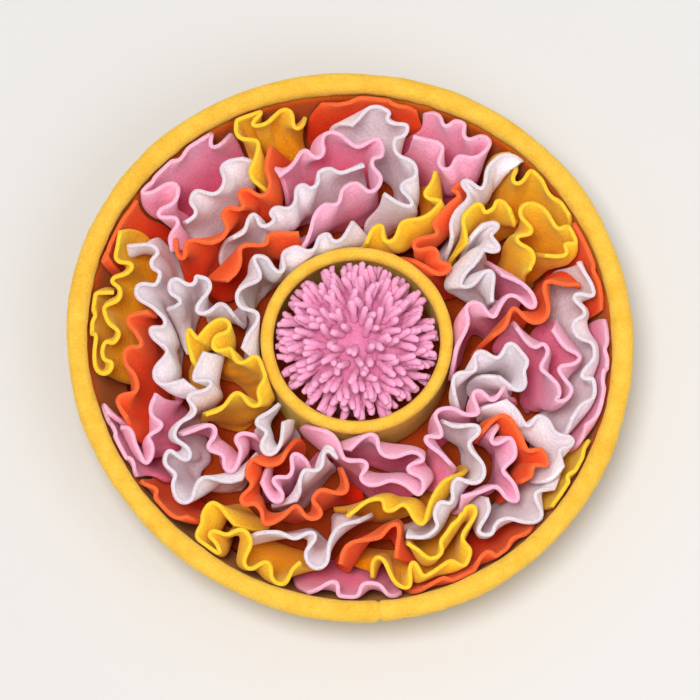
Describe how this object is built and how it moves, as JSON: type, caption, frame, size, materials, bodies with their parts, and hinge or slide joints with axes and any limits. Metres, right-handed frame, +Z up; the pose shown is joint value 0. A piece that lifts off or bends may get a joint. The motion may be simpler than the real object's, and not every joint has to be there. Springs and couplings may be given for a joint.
{
  "type": "snuffle bowl",
  "caption": "Low round fleece bowl with a rolled rim, packed with ruffled fleece strips for hiding treats, round a cup of chenille noodles.",
  "frame": {"origin": "middle of the flat underside", "axes": "+Z up out of the bowl, +X to the right and +Y away in the picture"},
  "size_m": [0.35, 0.35, 0.0913],
  "materials": {
    "fleece_yellow": "brushed polyester fleece, matte with a soft pile",
    "fleece_orange": "brushed polyester fleece, matte with a soft pile",
    "fleece_pink": "brushed polyester fleece, matte with a soft pile",
    "fleece_white": "brushed polyester fleece, lilac white, matte with a soft pile",
    "chenille_pink": "short dense chenille pile on finger-thick noodles"
  },
  "bodies": {
    "root": {"base_panel": "fleece_yellow", "side_wall": "fleece_yellow", "rim_binding": "fleece_yellow", "collar": "fleece_yellow", "noodle_ball": "chenille_pink", "ruffle_01_yellow": "fleece_yellow", "ruffle_02_orange": "fleece_orange", "ruffle_03_white": "fleece_white", "ruffle_04_orange": "fleece_orange", "ruffle_05_white": "fleece_white", "ruffle_06_white": "fleece_white", "ruffle_07_pink": "fleece_pink", "ruffle_08_white": "fleece_white", "ruffle_09_orange": "fleece_orange", "ruffle_10_yellow": "fleece_yellow", "ruffle_11_white": "fleece_white", "ruffle_12_orange": "fleece_orange", "ruffle_13_yellow": "fleece_yellow", "ruffle_14_pink": "fleece_pink", "ruffle_15_pink": "fleece_pink", "ruffle_16_white": "fleece_white", "ruffle_17_pink": "fleece_pink", "ruffle_18_white": "fleece_white", "ruffle_19_orange": "fleece_orange", "ruffle_20_yellow": "fleece_yellow", "ruffle_21_orange": "fleece_orange", "ruffle_22_pink": "fleece_pink", "ruffle_23_white": "fleece_white", "ruffle_24_white": "fleece_white", "ruffle_25_pink": "fleece_pink", "ruffle_26_orange": "fleece_orange", "ruffle_27_yellow": "fleece_yellow", "ruffle_28_white": "fleece_white", "ruffle_29_yellow": "fleece_yellow", "ruffle_30_pink": "fleece_pink", "ruffle_31_pink": "fleece_pink", "ruffle_32_pink": "fleece_pink", "ruffle_33_orange": "fleece_orange", "ruffle_34_white": "fleece_white", "ruffle_35_white": "fleece_white", "ruffle_36_pink": "fleece_pink", "ruffle_37_yellow": "fleece_yellow", "ruffle_38_white": "fleece_white", "ruffle_39_orange": "fleece_orange", "ruffle_40_orange": "fleece_orange", "ruffle_41_white": "fleece_white", "ruffle_42_pink": "fleece_pink", "ruffle_43_pink": "fleece_pink", "ruffle_44_yellow": "fleece_yellow", "ruffle_45_orange": "fleece_orange", "ruffle_46_white": "fleece_white", "ruffle_47_yellow": "fleece_yellow", "ruffle_48_white": "fleece_white", "ruffle_49_yellow": "fleece_yellow", "ruffle_50_yellow": "fleece_yellow", "ruffle_51_orange": "fleece_orange", "ruffle_52_orange": "fleece_orange", "ruffle_53_pink": "fleece_pink", "ruffle_54_white": "fleece_white", "ruffle_55_pink": "fleece_pink"}
  },
  "joints": []
}
